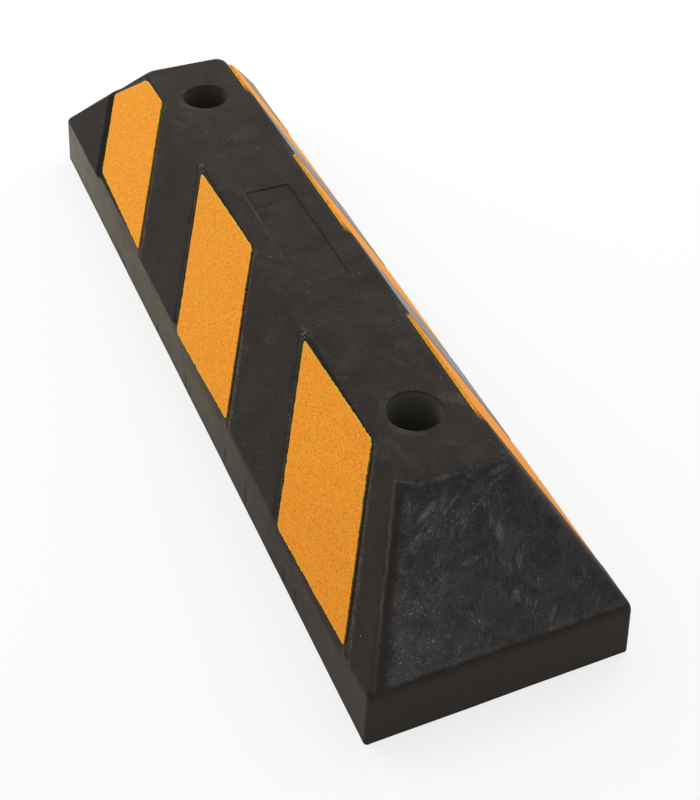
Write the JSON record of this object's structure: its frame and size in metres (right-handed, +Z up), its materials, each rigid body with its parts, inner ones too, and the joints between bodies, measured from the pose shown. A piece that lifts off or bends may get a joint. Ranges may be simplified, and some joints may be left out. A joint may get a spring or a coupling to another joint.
{
  "type": "rubber wheel stop",
  "caption": "Low moulded rubber block that stops a vehicle's wheel, with reflective strips in pockets on its long sides and countersunk fixing holes through its top.",
  "frame": {"origin": "middle of the underside, on the floor", "axes": "+X along the block, towards the end that the strips' feet lean to; +Y across it; +Z up"},
  "size_m": [0.55, 0.148, 0.098],
  "materials": {
    "rubber": "matte moulded rubber, slightly scuffed",
    "strip": "fine glass-bead reflective sheet"
  },
  "bodies": {
    "root": {"body": "rubber", "front_strip_1": "strip", "front_strip_2": "strip", "front_strip_3": "strip", "back_strip_1": "strip", "back_strip_2": "strip", "back_strip_3": "strip"}
  },
  "joints": []
}
